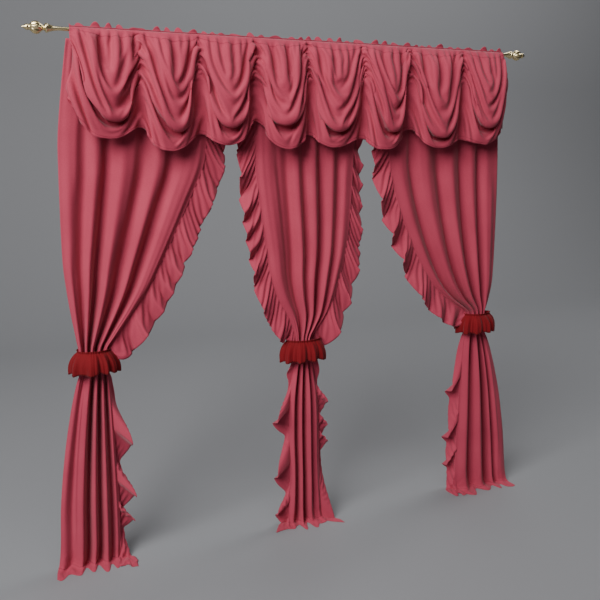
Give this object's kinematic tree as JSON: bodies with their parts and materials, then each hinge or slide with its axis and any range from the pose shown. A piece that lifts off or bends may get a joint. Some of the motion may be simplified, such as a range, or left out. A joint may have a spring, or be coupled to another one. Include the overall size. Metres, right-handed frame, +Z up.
{
  "type": "curtain with valance on a rod",
  "caption": "Tied-back curtain panels with gathered frills and a swagged balloon valance, hung together from a plain brass rod with turned finials.",
  "frame": {"origin": "on the rod's axis at the middle of the rod, level with the brackets that hold it", "axes": "+X along the rod, to the right as seen from the room; +Y level, from the room into the wall; +Z up"},
  "size_m": [2.598, 0.2172, 2.4808],
  "materials": {
    "rose_cloth": "matt woven cloth",
    "dark_red_cloth": "matt woven cloth",
    "brass": "polished"
  },
  "bodies": {
    "root": {"rod": "brass", "finial_left": "brass", "finial_right": "brass", "valance": "rose_cloth", "panel_left": "rose_cloth", "panel_centre": "rose_cloth", "panel_right": "rose_cloth", "frill_left": "rose_cloth", "frill_centre_left": "rose_cloth", "frill_centre_right": "rose_cloth", "frill_right": "rose_cloth", "tie_left": "dark_red_cloth", "tie_centre": "dark_red_cloth", "tie_right": "dark_red_cloth"}
  },
  "joints": []
}
